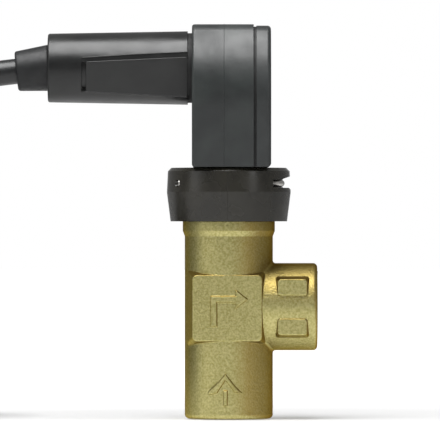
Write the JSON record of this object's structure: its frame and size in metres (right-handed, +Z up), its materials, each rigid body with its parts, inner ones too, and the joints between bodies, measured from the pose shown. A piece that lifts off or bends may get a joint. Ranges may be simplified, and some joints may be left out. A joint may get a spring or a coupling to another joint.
{
  "type": "paddle flow switch",
  "caption": "Paddle flow switch: brass tee with threaded inlet and side outlet, hinged paddle with magnet, black locking collar and clip, turnable reed switch head with cable.",
  "frame": {"origin": "centre of the inlet face, at the foot of the tee", "axes": "+Z up the tee's run and the head's turning axis; +X out of the side outlet; -Y is the side with the raised plate and arrow, seen from the front"},
  "size_m": [0.181, 0.0863, 0.1162],
  "materials": {
    "brass": "cast, satin",
    "carrier_plastic": "moulded, glass-filled",
    "seal_rubber": "moulded",
    "stainless": "ground",
    "washer_white": "satin",
    "magnet_nickel": "plated",
    "lever_plastic": "moulded",
    "collar_plastic": "moulded, glass-filled, warm black",
    "spring_wire": "drawn",
    "housing_grey": "moulded, satin, cool dark grey",
    "cover_grey": "moulded, satin, cool dark grey",
    "gasket_rubber": "die-cut",
    "zinc_screw": "zinc-plated",
    "board_green": "solder mask",
    "reed_glass": "clear, slightly green",
    "tinned_wire": "tinned",
    "resistor_tan": "lacquered",
    "terminal_green": "moulded",
    "tube_black": "moulded, satin",
    "locknut_brass": "nickel-plated",
    "clamp_plastic": "moulded",
    "cable_black": "soft PVC, satin",
    "grommet_rubber": "moulded",
    "core_brown": "PVC insulation",
    "core_black": "PVC insulation",
    "core_blue": "PVC insulation",
    "tie_black": "nylon"
  },
  "bodies": {
    "root": {"brass_body": "brass", "paddle_carrier": "carrier_plastic", "carrier_seal": "seal_rubber", "hinge_pin": "stainless", "thrust_washers": "washer_white", "return_magnet": "magnet_nickel", "locking_collar": "collar_plastic"},
    "paddle": {"paddle_lever": "lever_plastic", "paddle_plate": "stainless", "paddle_rivets": "stainless", "lever_magnet": "magnet_nickel", "magnet_cap": "lever_plastic"},
    "clip": {"retaining_clip": "spring_wire"},
    "head": {"switch_housing": "housing_grey", "spigot_seal": "seal_rubber", "housing_cover": "cover_grey", "cover_gasket": "gasket_rubber", "cover_screws": "zinc_screw", "circuit_board": "board_green", "board_screws": "zinc_screw", "reed_glass": "reed_glass", "reed_leads": "tinned_wire", "board_resistor": "resistor_tan", "terminal_block": "terminal_green", "terminal_screws": "zinc_screw", "cable_tube": "tube_black", "tube_seal": "gasket_rubber", "tube_locknut": "locknut_brass", "cable_clamp": "clamp_plastic", "cable_jacket": "cable_black", "grommet": "grommet_rubber", "core_brown": "core_brown", "core_black": "core_black", "core_blue": "core_blue", "cable_lead": "cable_black", "cable_coil": "cable_black", "coil_tie": "tie_black", "cable_tail": "cable_black", "core_brown_end": "core_brown", "core_black_end": "core_black", "core_blue_end": "core_blue", "end_ferrules": "tinned_wire"}
  },
  "joints": [
    {"name": "paddle_swing", "type": "hinge", "parent": "root", "child": "paddle", "pos_m": [0, 0, 0.052], "axis": [0, -1, 0], "range_deg": [0, 28], "stiffness_Nm_per_rad": 0.001, "springref_deg": -17.19},
    {"name": "clip_slide", "type": "slide", "parent": "root", "child": "clip", "axis": [1, 0, 0], "range_m": [0, 0.034]},
    {"name": "head_turn", "type": "hinge", "parent": "root", "child": "head", "pos_m": [0, 0, 0.0742], "axis": [0, 0, 1], "range_deg": [-170, 170]}
  ]
}
